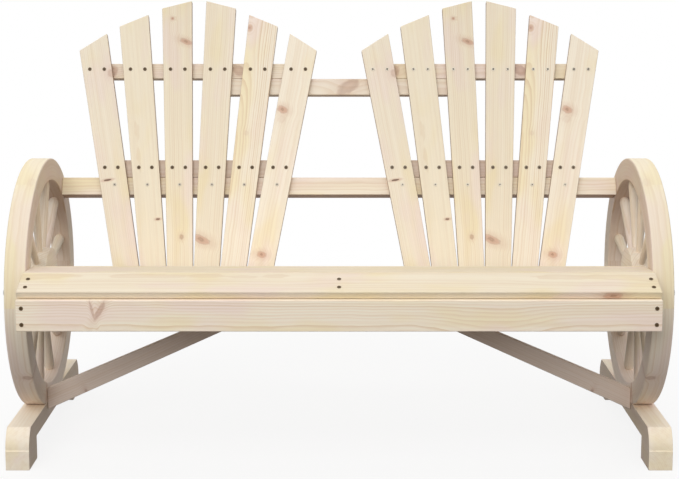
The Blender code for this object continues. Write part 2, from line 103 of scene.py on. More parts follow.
firWood = {
    "early": "#F2E7D3",  # wide pale spring growth
    "straw": "#F0E2BF",  # yellower stretches
    "blush": "#F0DFD2",  # pinker stretches
    "late": "#D3B48E",  # thin dark line that ends each ring
    "end": "#DCC7A6",  # the pieces' own darker tone, and painted shade where faces get less light
    "darkToneAndPaintedShade": "#98745A",  # faces left from the saw or kept from the sun
    "knot": "#CBA188",
    "knotHeart": "#A0735A",
    "knotRim": "#B0856A",
    "bark": "#5B493B",  # dead bark in the smallest marks
    "ringWidth": 3.6,  # mm from one ring to the next
    "streakWidth": 9.0,  # mm
    "fibreWidth": 0.9,  # mm, real fibres are 0.04 mm: drawn coarse enough to show
    "patchWidth": 70.0,  # mm
    "wander": 0.013,  # metres that the heart wanders sideways along a board
    "ripple": 0.0035,  # metres that the rings ripple
    "knotPush": 0.011,  # metres that a knot pushes the rings aside
    "streakShare": 0.22, "endShare": 0.45, "haloShare": 0.42, "darkToneAndPaintedShadeShare": 1.7,  # of their colours
    "roughness": 0.6,
    "relief": 0.00025,  # metres from fibre to fibre, for the bump
}


def planedFir(name, wood):
    # Planed fir, unfinished: a silky matt face, pale, with faint straight rings, pink-brown knots and a
    # little sheen along the fibres. "grain" holds metres along, across and through the board, from the
    # heart of its tree. "knot1" to "knot3" hold the distance from a knot in knot radii, and its depth of
    # colour: below zero for a knot under the face that only bends the rings, above one where bark shows.
    # "tone" holds lightness, warmth and ring contrast; its lightness also carries painted light and shade.
    # "endGrain" is 1 on cross-cut faces. On the rims, "knot1" also holds a painted shadow where the rim meets
    # its foot.
    material, shader, add = newMaterial(name)
    shade = {part: linearColour(value) for part, value in wood.items() if isinstance(value, str)}
    grain = add("ShaderNodeAttribute", attribute_name="grain").outputs["Vector"]
    tone = add("ShaderNodeAttribute", attribute_name="tone").outputs["Vector"]
    tone = add("ShaderNodeSeparateXYZ", [tone]).outputs
    endGrain = add("ShaderNodeAttribute", attribute_name="endGrain").outputs["Fac"]

    # knots push the rings aside and paint their own spot
    knots = {}
    for number in (1, 2, 3):
        spot = add("ShaderNodeAttribute", attribute_name=f"knot{number}").outputs["Vector"]
        depth = add("ShaderNodeSeparateXYZ", [spot]).outputs["Z"]
        flat = add("ShaderNodeVectorMath", [spot, (1.0, 1.0, 0.0)], operation="MULTIPLY")
        edge = add("ShaderNodeTexNoise", {"Vector": flat, "Scale": 1.6, "Detail": 2.0})
        away = add("ShaderNodeVectorMath", [flat], operation="LENGTH")
        frayed = add("ShaderNodeMath", [edge, 0.7, away], operation="MULTIPLY_ADD")
        bend = add("ShaderNodeMath", [depth], operation="ABSOLUTE")
        dead = add("ShaderNodeMath", [depth, 1.0], operation="SUBTRACT", use_clamp=True)
        knot = {}
        for part, distance, near, far, strength in (
                ("lift", away, 0.0, 3.6, bend), ("spot", frayed, 1.05, 1.55, depth),
                ("halo", frayed, 1.1, 3.2, depth)):
            fade = add("ShaderNodeMapRange", [distance, near, far, 1.0, 0.0], interpolation_type="SMOOTHSTEP")
            knot[part] = add("ShaderNodeMath", [fade, strength], operation="MULTIPLY",
                             use_clamp=part != "lift")
        knot["ring"] = add("ShaderNodeMath", [frayed, knot["spot"]], operation="MULTIPLY")
        knot["bark"] = add("ShaderNodeMath", [dead, knot["spot"]], operation="MULTIPLY")
        for part, node in knot.items():
            if part in knots:
                node = add("ShaderNodeMath", [knots[part], node],
                           operation="ADD" if part == "lift" else "MAXIMUM")
            knots[part] = node

    # the heart wanders slowly; the other patterns are drawn out along the grain, by repeats in a metre
    drift = add("ShaderNodeVectorMath", [grain, (2.0, 5.0, 5.0)], operation="MULTIPLY")
    drift = add("ShaderNodeTexNoise", {"Vector": drift, "Scale": 1.0, "Detail": 1.0}).outputs["Color"]
    drift = add("ShaderNodeVectorMath", [drift, (0.5, 0.5, 0.5)], operation="SUBTRACT")
    drift = add("ShaderNodeVectorMath", [drift, (0.0, wood["wander"], wood["wander"]), grain],
                operation="MULTIPLY_ADD")
    patterns = {}
    for pattern, source, along, across, detail in (
            ("ripple", grain, 14.0, 40.0, 2.0), ("fibre", grain, 9.0, 1000 / wood["fibreWidth"], 2.0),
            ("streak", drift, 1.4, 1000 / wood["streakWidth"], 3.0),
            ("patch", grain, 5.0, 1000 / wood["patchWidth"], 2.0)):
        drawn = add("ShaderNodeVectorMath", [source, (along, across, across)], operation="MULTIPLY")
        patterns[pattern] = add("ShaderNodeTexNoise", {"Vector": drawn, "Scale": 1.0, "Detail": detail})
    fibre = patterns["fibre"]

    # rings around the heart, each with its own depth
    ripple = add("ShaderNodeMath", [patterns["ripple"], wood["ripple"]], operation="MULTIPLY")
    radius = add("ShaderNodeVectorMath", [drift, (0.0, 1.0, 1.0)], operation="MULTIPLY")
    radius = add("ShaderNodeVectorMath", [radius], operation="LENGTH")
    radius = add("ShaderNodeMath", [radius, ripple], operation="ADD")
    radius = add("ShaderNodeMath", [knots["lift"], wood["knotPush"], radius], operation="MULTIPLY_ADD")
    count = add("ShaderNodeMath", [radius, 1000 / wood["ringWidth"]], operation="MULTIPLY")
    ring = add("ShaderNodeMath", [count], operation="FRACT")
    depth = add("ShaderNodeMath", [count], operation="FLOOR")
    depth = add("ShaderNodeTexWhiteNoise", [depth], noise_dimensions="1D")
    depth = add("ShaderNodeMapRange", [depth, 0.0, 1.0, 0.06, 0.3])
    late = add("ShaderNodeMapRange", [ring, 0.3, 0.93, 0.0, 1.0], interpolation_type="SMOOTHSTEP")
    lateEnd = add("ShaderNodeMapRange", [ring, 0.95, 1.0, 1.0, 0.0])
    late = add("ShaderNodeMath", [late, lateEnd], operation="MULTIPLY")
    lateAmount = add("ShaderNodeMath", [late, depth], operation="MULTIPLY")
    contrast = add("ShaderNodeMath", [tone["Z"], 1.0], operation="ADD")
    lateAmount = add("ShaderNodeMath", [lateAmount, contrast], operation="MULTIPLY")

    # colours, one over the other
    patches = add("ShaderNodeSeparateColor", [patterns["patch"].outputs["Color"]]).outputs
    straw, blush = [add("ShaderNodeMapRange", [patches[part], 0.46, 0.68, 0.0, 1.0],
                        interpolation_type="SMOOTHSTEP") for part in ("Red", "Green")]
    straw = add("ShaderNodeMath", [straw, tone["Y"]], operation="ADD", use_clamp=True)
    blush = add("ShaderNodeMath", [tone["Y"], -0.7, blush], operation="MULTIPLY_ADD", use_clamp=True)
    streak = add("ShaderNodeMapRange", [patterns["streak"], 0.42, 0.75, 0.0, wood["streakShare"]])
    crossCut = add("ShaderNodeMath", [endGrain, wood["endShare"]], operation="MULTIPLY")
    halo = add("ShaderNodeMath", [knots["halo"], wood["haloShare"]], operation="MULTIPLY")
    # tone below zero mixes in the darker brown: the pieces' own darker tone, and painted shade
    darkToneAndPaintedShade = add("ShaderNodeMath", [tone["X"], -wood["darkToneAndPaintedShadeShare"]], operation="MULTIPLY", use_clamp=True)
    knotColour = add("ShaderNodeValToRGB", [knots["ring"]])
    stops = knotColour.color_ramp.elements
    stops[0].color, stops[1].color = shade["knot"], shade["knotRim"]
    for place, part in ((0.45, "knotHeart"), (0.62, "knot"), (0.85, "knot")):
        stops.new(place).color = shade[part]
    colour = shade["early"]
    for amount, over in (
            (straw, shade["straw"]), (blush, shade["blush"]), (streak, shade["late"]),
            (lateAmount, shade["late"]), (crossCut, shade["end"]), (halo, shade["knot"]),
            (knots["spot"], knotColour), (knots["bark"], shade["bark"]), (darkToneAndPaintedShade, shade["darkToneAndPaintedShade"])):
        colour = add("ShaderNodeMix", [amount, colour, over], data_type="RGBA")
    light = add("ShaderNodeMapRange", [fibre, 0.25, 0.75, 0.965, 1.03])
    # tone above zero lightens the colour: the pieces' own lighter tone, and painted light low on the rims and
    # struts
    bright = add("ShaderNodeMath", [tone["X"], 0.0], operation="MAXIMUM")
    light = add("ShaderNodeMath", [light, bright], operation="ADD")
    colour = add("ShaderNodeVectorMath", [colour, light], operation="SCALE")

    rough = add("ShaderNodeMapRange", [fibre, 0.3, 0.7, wood["roughness"] - 0.06, wood["roughness"] + 0.08])
    rough = add("ShaderNodeMath", [lateAmount, -0.15, rough], operation="MULTIPLY_ADD")
    height = add("ShaderNodeMath", [late, 0.5, fibre], operation="MULTIPLY_ADD")
    height = add("ShaderNodeMath", [knots["spot"], 0.8, height], operation="MULTIPLY_ADD")
    bump = add("ShaderNodeBump", {"Strength": 0.35, "Distance": wood["relief"], "Height": height})
    fill(shader, {"Base Color": colour, "Roughness": rough, "Normal": bump, "IOR": 1.45})
    return material


fir = planedFir("planed_fir", firWood)
print("wood made:", len(fir.node_tree.nodes), "nodes")

boards = {
    "facing": 0.8,  # how squarely a face has to point one way to count as facing it
    "shadedRingContrast": 0.4,
    "noKnot": (9.0, 9.0, 0.0),
    "edge": 0.0018, "edgeSegments": 3, "edgeAngle": 25,  # sanded round, at corners past that angle
    "flatWeight": 90,
    "mergeReach": 0.00005, "mergeAngle": 1,
}


def setLayer(mesh, name, values, kind="FLOAT_VECTOR", domain="CORNER"):
    layer = mesh.attributes.new(name, kind, domain)
    layer.data.foreach_set("vector" if kind == "FLOAT_VECTOR" else "value", values)


def grainMarks(mesh, place, knots=(), tone=(0.0, 0.0, 0.0), toneRun=(0.0, 0.0, 0.0), heart=None, seed=0,
               ends=True):
    # place: X along the grain, Y across the face, Z out of it. heart: where the tree's middle lies from
    # the board's middle, across and through. toneRun: what a metre along the grain adds to the tone.
    # knots: along, across, half length, half width and depth, then, where needed, its turn in degrees
    # and how much of the way through the board counts as across.
    dice = random.Random(seed)
    start = dice.uniform(0, 40)
    heart = heart or (dice.uniform(-0.05, 0.05), dice.choice((-1, 1)) * dice.uniform(0.035, 0.1))
    shift = Vector((start, -heart[0], -heart[1]))
    back = place.inverted()
    turnBack = place.to_3x3().transposed()
    spots = dict(zip(("knot1", "knot2", "knot3"), (*knots, None, None, None)))
    layers = {name: [] for name in ("grain", "tone", *spots)}
    ending = []
    for face in mesh.polygons:
        crossCut = ends and abs((turnBack @ face.normal).x) > boards["facing"]
        for loop in face.loop_indices:
            here = back @ mesh.vertices[mesh.loops[loop].vertex_index].co
            layers["grain"].extend(here + shift)
            layers["tone"].extend(level + run * here.x for level, run in zip(tone, toneRun))
            ending.append(1.0 if crossCut else 0.0)
            for name, knot in spots.items():
                if knot is None:
                    layers[name].extend(boards["noKnot"])
                    continue
                along, across, length, width, depth, turn, through = (*knot, 0.0, 0.0)[:7]
                run, side, turn = here.x - along, here.y + here.z * through - across, math.radians(turn)
                layers[name].extend(((run * math.cos(turn) + side * math.sin(turn)) / length,
                                     (side * math.cos(turn) - run * math.sin(turn)) / width, depth))
    for name, values in layers.items():
        setLayer(mesh, name, values)
    setLayer(mesh, "endGrain", ending, "FLOAT")


def shadedFaces(mesh, direction, amount):
    # painted shade: faces that point one way are drawn darker, with more contrast in their rings
    tone = mesh.attributes["tone"].data
    for face in mesh.polygons:
        if face.normal.dot(direction) > boards["facing"]:
            for loop in face.loop_indices:
                tone[loop].vector = tone[loop].vector + Vector((-amount, 0.0, boards["shadedRingContrast"]))


def newItem(name, mesh):
    item = bpy.data.objects.new(name, mesh)
    scene.collection.objects.link(item)
    return item


def smoothItem(name, shape):
    # an object from a bmesh, shaded smooth
    mesh = bpy.data.meshes.new(name)
    shape.to_mesh(mesh)
    shape.free()
    mesh.polygons.foreach_set("use_smooth", [True] * len(mesh.polygons))
    return newItem(name, mesh)


def finished(name, item, nodes, material=fir):
    # bakes the modifiers into a plain mesh, sets it on the frame and hides the nodes that it stands for
    bpy.context.view_layer.update()
    mesh = bpy.data.meshes.new_from_object(item.evaluated_get(bpy.context.evaluated_depsgraph_get()))
    mesh.name = name
    bpy.data.objects.remove(item)
    piece = newItem(name, mesh)
    mesh.materials.clear()
    mesh.materials.append(material)
    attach(piece, "root")
    if nodes:
        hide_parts(*nodes)
    return piece


def flatFaces(item):
    # shading that keeps the wide faces flat
    item.modifiers.new("flat faces", "WEIGHTED_NORMAL").weight = boards["flatWeight"]


def easedEdges(item, width):
    # sanded edges
    bevel = item.modifiers.new("sanded edges", "BEVEL")
    bevel.width, bevel.segments = width, boards["edgeSegments"]
    bevel.limit_method, bevel.angle_limit = "ANGLE", math.radians(boards["edgeAngle"])
    flatFaces(item)


def sawnBoard(name, nodes, slot, outline, thickness, place, edge=boards["edge"], **grain):
    # a board sawn to an outline in the place's XY plane, its thickness centred on that plane
    shape = bmesh.new()
    face = shape.faces.new([shape.verts.new((x, y, -thickness / 2)) for x, y in outline])
    top = bmesh.ops.extrude_face_region(shape, geom=[face])
    moved = [part for part in top["geom"] if isinstance(part, bmesh.types.BMVert)]
    bmesh.ops.translate(shape, vec=(0, 0, thickness), verts=moved)
    bmesh.ops.recalc_face_normals(shape, faces=shape.faces)
    item = smoothItem(name + "_raw", shape)
    item.data.transform(place)
    easedEdges(item, edge)
    piece = finished(name, item, nodes)
    grainMarks(piece.data, place, **grain)
    return piece


def straightBoard(name, node, slot, length, width, thickness, tilt, underShade=0.0, **grain):
    # length along X, width along Y tilted up by that many degrees, laid on the middle of its node
    x, y = length / 2, width / 2
    place = turned(middleOf(node), (tilt, "X"))
    piece = sawnBoard(name, [node], slot, [(-x, -y), (x, -y), (x, y), (-x, y)], thickness, place, **grain)
    # painted shade on the underside
    if underShade:
        shadedFaces(piece.data, place.to_3x3() @ Vector((0.0, -1.0, 0.0)), underShade)


def dressedCopy(node, name, slot, place, **grain):
    # a merged copy of a node's own mesh, for boards whose outline the node has already
    shape = bmesh.new()
    shape.from_mesh(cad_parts[node].data)
    bmesh.ops.remove_doubles(shape, verts=shape.verts, dist=boards["mergeReach"])
    bmesh.ops.dissolve_limit(shape, angle_limit=math.radians(boards["mergeAngle"]), verts=shape.verts,
                             edges=shape.edges)
    item = smoothItem(name + "_raw", shape)
    flatFaces(item)
    grainMarks(finished(name, item, [node]).data, place, **grain)


def newTree(name, sizes):
    # geometry nodes with a named input for each size. Gives the tree, addNode for it, its inputs, and
    # the coordinates of each point
    tree = bpy.data.node_groups.new(name, "GeometryNodeTree")
    for way in ("INPUT", "OUTPUT"):
        tree.interface.new_socket("Geometry", in_out=way, socket_type="NodeSocketGeometry")
    for label, value in sizes.items():
        kind = "NodeSocketInt" if isinstance(value, int) else "NodeSocketFloat"
        tree.interface.new_socket(label, in_out="INPUT", socket_type=kind).default_value = value
    add = partial(addNode, tree)
    where = add("ShaderNodeSeparateXYZ", [add("GeometryNodeInputPosition")])
    return tree, add, add("NodeGroupInput").outputs, where.outputs


def closeTree(add, geometry, material):
    real = add("GeometryNodeRealizeInstances", [geometry])
    painted = add("GeometryNodeSetMaterial", {"Geometry": real, "Material": material})
    add("NodeGroupOutput", [painted])


def grown(name, tree, sizes, mesh=None):
    # an object whose mesh the tree makes, with its inputs set by their identifiers
    item = newItem(name + "_raw", mesh or bpy.data.meshes.new(name))
    modifier = item.modifiers.new("grown", "NODES")
    modifier.node_group = tree
    for socket in tree.interface.items_tree:
        if socket.in_out == "INPUT" and socket.name in sizes:
            modifier[socket.identifier] = sizes[socket.name]
    return item


# the back: two fans of tapered slats
back = {
    "recline": 20.0,
    "section": 0.038,  # of the long rail
    "clearance": 0.0003,
    "innerWidth": 1.1934,
    "outerGap": 0.0125, "middleGap": 0.0328,
    "apexDrop": 0.987,  # from the long rail down to where a fan's slats would meet
    "topReaches": (1.3927, 1.3626, 1.3261), "topSlopes": (14.8, 23.2, 33.5),  # middle pair first
    "slatThickness": 0.015, "slatEdge": 0.0016,
    "topGap": 0.0313, "footGap": 0.0003,
    "footLap": 0.003,  # how far the slats end below the middle of the rear rail
    "battenThickness": 0.018, "upperHeight": 0.034, "lowerHeight": 0.038, "linkHeight": 0.0366,
    "upperInset": 0.0307, "lowerInset": 0.0707, "linkInset": 0.0385,
    "railLength": 1.1928, "rearLength": 1.1482, "rearHeight": 0.06, "rearThickness": 0.022,
    "edgeShadeDepth": 0.4,  # how much painted shade darkens the slats' side edges
    "underShadeDepth": 0.55,  # the same painted shade under the rails and battens
}
recline = math.radians(back["recline"])
backUp = Vector((0.0, math.sin(recline), math.cos(recline)))
backFacing = Vector((0.0, -math.cos(recline), math.sin(recline)))
backOrigin = middleOf("back_rail") + backFacing * (back["section"] / 2 + back["clearance"])
backTilt = 90 - back["recline"]
backPlace = turned(backOrigin, (backTilt, "X"))
fanHalf = (back["innerWidth"] / 2 - back["outerGap"] - back["middleGap"]) / 2
fanOffset = back["middleGap"] + fanHalf
fanStep = math.asin(fanHalf / back["topReaches"][-1]) / 3
footReach = back["apexDrop"] + (middleOf("rear_rail") - backOrigin).dot(backUp) - back["footLap"]

# slats 1 to 6 from the left: tone, what a metre adds to it, where its heart lies, and its knots, in
# metres above the long rail and to the right of the slat's middle
slatLooks = {
    1: ((0.0, 0.1, -0.2), (0.0, 0.0, 0.0), (0.07, 0.03),
        [(0.262, 0.029, 0.01, 0.008, 0.35), (0.0275, -0.012, 0.0019, 0.0075, 1.75)]),
    2: ((0.0, 0.3, -0.2), (0.0, 0.0, 0.0), (0.015, -0.07),
        [(-0.072, 0.018, 0.002, 0.004, 1.6)]),
    3: ((0.005, 0.35, 0.1), (-0.1, 0.0, 0.0), (0.055, 0.03),
        [(0.374, -0.01, 0.0034, 0.0034, 0.8), (0.32, 0.019, 0.006, 0.0135, 0.75, 22),
         (-0.113, 0.004, 0.006, 0.0045, 0.5)]),
    4: ((0.0, 0.25, -0.1), (0.0, 0.0, 0.0), (-0.06, 0.04),
        [(-0.119, -0.015, 0.0085, 0.019, 0.7, 20)]),
    5: ((0.045, 0.02, 0.7), (0.0, 0.0, 2.6), (0.034, -0.032),
        [(0.356, -0.028, 0.0058, 0.0042, 0.7), (0.119, -0.008, 0.006, 0.005, 0.15),
         (0.32, -0.036, 0.05, 0.015, -1.0)]),
    6: ((0.06, -0.05, -0.3), (0.0, 0.0, 0.0), (-0.03, 0.05),
        [(0.181, -0.017, 0.008, 0.011, 0.75, 12), (0.16, -0.016, 0.009, 0.01, 0.14),
         (-0.139, -0.003, 0.007, 0.0095, 0.8)]),
}

slatTree, add, given, where = newTree("tapered_slat", dict.fromkeys(
    ("Foot Reach", "Half Foot", "Top Reach", "Half Top", "Taper", "Top Skew", "Thickness"), 0.0))
block = add("GeometryNodeMeshCube", {"Size": (1.0, 1.0, 1.0)})
across = add("ShaderNodeMath", [where["X"], 2.0], operation="MULTIPLY")
rise = add("ShaderNodeMath", [where["Y"], 0.5], operation="ADD")
footX = add("ShaderNodeMath", [across, given["Half Foot"]], operation="MULTIPLY")
slant = add("ShaderNodeMath", [given["Taper"], given["Top Skew"]], operation="MULTIPLY")
slant = add("ShaderNodeMath", [across, slant, 1.0], operation="MULTIPLY_ADD")
topX = add("ShaderNodeMath", [across, given["Half Top"]], operation="MULTIPLY")
topX = add("ShaderNodeMath", [topX, slant], operation="DIVIDE")
topY = add("ShaderNodeMath", [topX, given["Top Skew"]], operation="MULTIPLY")
topY = add("ShaderNodeMath", [given["Top Reach"], topY], operation="SUBTRACT")
slatX = add("ShaderNodeMix", [rise, footX, topX])
slatY = add("ShaderNodeMix", [rise, given["Foot Reach"], topY])
slatZ = add("ShaderNodeMath", [where["Z"], 0.5], operation="ADD")
slatZ = add("ShaderNodeMath", [slatZ, given["Thickness"]], operation="MULTIPLY")
spot = add("ShaderNodeCombineXYZ", [slatX, slatY, slatZ])
block = add("GeometryNodeSetPosition", {"Geometry": block, "Position": spot})
closeTree(add, add("GeometryNodeSetShadeSmooth", [block]), fir)


def slatLean(number):
    # how far a slat leans to the right
    return fanStep * (number - 3.5)


def addSlat(side, sign, number):
    tone, toneRun, heart, knots = slatLooks[number]
    lean = slatLean(number)
    # the slat's own plane, with Y up the slat from the fan's apex
    place = backPlace @ Matrix.Translation((sign * fanOffset, -back["apexDrop"], 0.0)) \
        @ Matrix.Rotation(-lean, 4, "Z")
    pair = max(number - 4, 3 - number)
    topSkew = math.tan(math.radians(back["topSlopes"][pair]) - abs(lean))
    spread = math.tan(fanStep / 2)
    fullReach, reach = back["topReaches"][0], back["topReaches"][pair]
    halfFoot = footReach * spread - back["footGap"] / 2
    halfFull = fullReach * spread - back["topGap"] / 2
    taper = (halfFull - halfFoot) / (fullReach - footReach)
    name = f"slat_{side}_{number}"
    item = grown(name, slatTree, {
        "Foot Reach": footReach, "Half Foot": halfFoot, "Top Reach": reach,
        "Half Top": halfFoot + taper * (reach - footReach), "Taper": taper,
        "Top Skew": math.copysign(topSkew, lean), "Thickness": back["slatThickness"]})
    easedEdges(item, back["slatEdge"])
    mesh = finished(name, item, [f"back_slat_{side}_{number}"]).data
    mesh.transform(place)
    # the grain runs up the slat, so what lies to the right of its middle lies to the left of the grain
    grainPlace = place @ Matrix.Translation((0.0, back["apexDrop"], back["slatThickness"])) \
        @ Matrix.Rotation(math.pi / 2, 4, "Z")
    knots = [(knot[0], -knot[1], *knot[2:5], *[-turn for turn in knot[5:]]) for knot in knots]
    grainMarks(mesh, grainPlace, knots=knots, tone=tone, toneRun=toneRun, heart=heart, seed=number)
    # painted shade on both side edges of the slat
    for edge in (-1, 1):
        shadedFaces(mesh, grainPlace.to_3x3() @ Vector((0.0, edge, 0.0)), back["edgeShadeDepth"])


for side, sign in sides.items():
    for number in range(1, 7):
        addSlat(side, sign, number)
print("fans made")

battenKnots = [(0.089, 0.002, 0.012, 0.016, 0.45, 60), (-0.187, 0.0, 0.012, 0.012, 0.5)]
battenUnderShade = back["underShadeDepth"] / 2
for side, seed in (("left", 31), ("right", 32)):
    for row, look in (("upper", {"seed": seed, "tone": (0.0, -0.1, 0.4), "knots": battenKnots}),
                      # painted shade: the lower battens, seen between the slats, are drawn darker and pinker
                      ("lower", {"seed": seed + 4, "tone": (-0.17, -0.8, 0.5)})):
        straightBoard(f"batten_{row}_{side}", f"{row}_batten_{side}", "batten",
                      2 * (fanHalf - back[row + "Inset"]), back[row + "Height"], back["battenThickness"],
                      backTilt, battenUnderShade, **look)
straightBoard("rail_link", "link_rail", "batten", 2 * (fanOffset - back["linkInset"]), back["linkHeight"],
              back["battenThickness"], backTilt, battenUnderShade, seed=41, tone=(0.0, -0.1, 0.3),
              knots=[(0.021, 0.001, 0.03, 0.014, 0.45, 32)])
straightBoard("rail_long", "back_rail", "back_rail", back["railLength"], back["section"], back["section"],
              backTilt, back["underShadeDepth"], seed=42, tone=(0.02, 0.0, 0.3), heart=(0.03, -0.03))
straightBoard("rail_rear", "rear_rail", "frame", back["rearLength"], back["rearHeight"],
              back["rearThickness"], backTilt, seed=43)
print("rails and battens made")

# the seat: five slats, the apron and the rails under them
seat = {
    "slatLength": 1.1928, "slatThickness": 0.0145,
    "tilts": (20.0, -3.0, -12.0, -13.0, -14.0),
    "apronThickness": 0.018, "apronHeight": 0.059,
    "railTilt": -6, "strutTilt": 24,
    # the front slat has a long knot that comes out on its front edge
    "frontLook": {"tone": (-0.04, 0.25, 0.0), "heart": (0.02, -0.05),
                  "knots": [(0.506, -0.035, 0.018, 0.004, 0.8, 0, 0.5)]},
    "slatLook": {"tone": (-0.07, 0.45, 0.0)},
    # a branch cut lengthwise shows as a V on the apron
    "apronKnots": [(-0.455, 0.01, 0.019, 0.0024, 0.42, -76), (-0.441, 0.01, 0.021, 0.005, 0.48, 59),
                   (0.29, -0.02, 0.045, 0.018, -0.7)],
}
for number, slope in enumerate(seat["tilts"], start=1):
    # the width of a tilted board follows from the depth of its box
    low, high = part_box(f"seat_slat_{number}")
    turn = math.radians(abs(slope))
    width = ((high.y - low.y) - seat["slatThickness"] * math.sin(turn)) / math.cos(turn)
    straightBoard(f"seat_board_{number}", f"seat_slat_{number}", "seat_slat", seat["slatLength"], width,
                  seat["slatThickness"], slope, seed=50 + number,
                  **seat["frontLook" if number == 1 else "slatLook"])
straightBoard("apron_board", "apron", "apron", seat["slatLength"], seat["apronHeight"],
              seat["apronThickness"], 90, seed=61, tone=(0.155, -0.1, 1.1), heart=(-0.045, -0.055),
              knots=seat["apronKnots"])
for node in ("side_rail_left", "side_rail_right", "middle_rail"):
    dressedCopy(node, node + "_board", "frame",
                turned(middleOf(node), (90, "Z"), (90, "X"), (seat["railTilt"], "Z")), seed=len(node))
for side, sign in sides.items():
    node = "strut_" + side
    # painted light and shade along the strut: lighter towards its lower end by the wheel, darker towards its
    # upper end under the seat
    dressedCopy(node, node + "_board", "strut",
                turned(middleOf(node), (90, "X"), (-sign * seat["strutTilt"], "Z")), seed=71,
                tone=(-0.04, -1.6, 0.0), toneRun=(sign * 0.45, 0.0, 0.0), heart=(-sign * 0.05, 0.04),
                knots=[(sign * 0.236, -0.012, 0.004, 0.012, 0.45)])
print("seat made")

# the wheels and the feet under them
wheel = {
    "radius": 0.254, "rimWidth": 0.045, "thickness": 0.0418, "flatDepth": 0.0171, "edge": 0.003,
    "facets": 240, "felloes": 6,
    "grainRadius": 0.23,  # the circle that the rim's grain follows
    "hubRadius": 0.07, "hubEdge": 0.0025,
    "spokes": 12, "spokeShoulder": 0.0108, "spokeFacets": 24,
    "hubSink": 0.003, "rimSink": 0.001,  # how deep a spoke's ends go into the hub and the rim
    # knots on the tread, the last of them a painted shadow where the rim meets its foot: degrees from the
    # front, upwards, then half length, half width and depth
    "treadKnotsAndShadow": ((62, 0.014, 0.008, 0.1), (-36, 0.006, 0.011, 0.4), (-68.6, 0.0022, 0.03, 0.75)),
    "markSide": -0.01,  # how far the knots and the painted shadow lie off the middle of the tread
    "markReach": 0.12,  # no knot or painted shadow is drawn beyond this
    # painted shade and warmth: at the hub's level, what a metre up adds, and the least and the most that it
    # comes to
    "paintedShade": (0.45, 3.5, -0.3, 1.0), "warmth": (0.1, 4.0, -0.6, 0.5),
    # how deep the painted shade goes, a lightness for the whole rim, the painted light that a metre down adds
    # outside, and ring contrast
    "paintedShadeDepth": 0.34, "lift": 0.01, "lowPaintedLight": 0.3, "contrast": 0.3,
}
hubFlat = wheel["hubRadius"] * math.cos(math.pi / wheel["spokes"])
rimSizes = {
    "Middle Radius": wheel["radius"] - wheel["rimWidth"] / 2, "Rim Width": wheel["rimWidth"],
    "Rim Thickness": wheel["thickness"], "Edge Round": wheel["edge"],
    "Flat Level": wheel["flatDepth"] - wheel["radius"], "Facets": wheel["facets"],
}
spokeSizes = {
    "Spokes": wheel["spokes"], "Hub Reach": hubFlat - wheel["hubSink"],
    "Rim Reach": wheel["radius"] - wheel["rimWidth"] + wheel["rimSink"],
    "Thickness": wheel["spokeShoulder"], "Seed": 5,
}

rimTree, add, given, where = newTree("wheel_rim", rimSizes)
circle = add("GeometryNodeCurvePrimitiveCircle", [given["Facets"], given["Middle Radius"]])
section = add("GeometryNodeCurvePrimitiveQuadrilateral", [given["Rim Width"], given["Rim Thickness"]])
section = add("GeometryNodeFilletCurve", {"Curve": section, "Radius": given["Edge Round"], "Count": 4},
              mode="POLY")
ring = add("GeometryNodeCurveToMesh", [circle, section])
ring = add("GeometryNodeTransform", {"Geometry": ring, "Rotation": (0.0, math.pi / 2, 0.0)})
level = add("ShaderNodeMath", [where["Z"], given["Flat Level"]], operation="MAXIMUM")
spot = add("ShaderNodeCombineXYZ", [where["X"], where["Y"], level])
ring = add("GeometryNodeSetPosition", {"Geometry": ring, "Position": spot})
closeTree(add, add("GeometryNodeSetShadeSmooth", [ring]), fir)

# share of the length and share of the thickness at each ring of a spoke, hub end first
spokeShape = [(0.0, 0.6), (0.02, 0.605), (0.22, 0.684), (0.42, 0.763), (0.6, 0.834), (0.74, 0.895),
              (0.84, 0.945), (0.885, 0.985), (0.905, 1.0), (0.93, 0.985), (0.955, 0.93), (0.98, 0.82),
              (1.0, 0.735)]
lastRing = len(spokeShape) - 1
spokeTree, add, given, where = newTree("turned_spokes", spokeSizes)
line = add("GeometryNodeMeshLine", {"Count": len(spokeShape), "Offset": (0.0, 0.0, 1.0)})
order = add("GeometryNodeInputIndex")
share = add("ShaderNodeMath", [order, float(lastRing)], operation="DIVIDE")
curves = []
for column in (0, 1):
    curve = add("ShaderNodeFloatCurve", {"Value": share})
    points = curve.mapping.curves[0].points
    while len(points) < len(spokeShape):
        points.new(0.5, 0.5)
    for number, (point, row) in enumerate(zip(points, spokeShape)):
        point.location = (number / lastRing, row[column])
        point.handle_type = "VECTOR"
    curve.mapping.update()
    curves.append(curve)
height = add("ShaderNodeMix", [curves[0], given["Hub Reach"], given["Rim Reach"]])
spot = add("ShaderNodeCombineXYZ", {"Z": height})
line = add("GeometryNodeSetPosition", {"Geometry": line, "Position": spot})
width = add("ShaderNodeMath", [curves[1], given["Thickness"]], operation="MULTIPLY")
line = add("GeometryNodeStoreNamedAttribute", {"Geometry": line, "Name": "spokeRadius", "Value": width})
line = add("GeometryNodeMeshToCurve", [line])
width = add("GeometryNodeInputNamedAttribute", ["spokeRadius"])
circle = add("GeometryNodeCurvePrimitiveCircle", [wheel["spokeFacets"], 1.0])
spoke = add("GeometryNodeCurveToMesh", [line, circle, width, True])
along = add("ShaderNodeCombineXYZ", [where["Z"], where["X"], where["Y"]])
spoke = add("GeometryNodeStoreNamedAttribute", {"Geometry": spoke, "Name": "grain", "Value": along},
            data_type="FLOAT_VECTOR")
spoke = add("GeometryNodeSetShadeSmooth", [spoke])
hub = add("GeometryNodePoints", [given["Spokes"]])
step = add("ShaderNodeMath", [2 * math.pi, given["Spokes"]], operation="DIVIDE")
turn = add("ShaderNodeMath", [order, 0.5], operation="ADD")
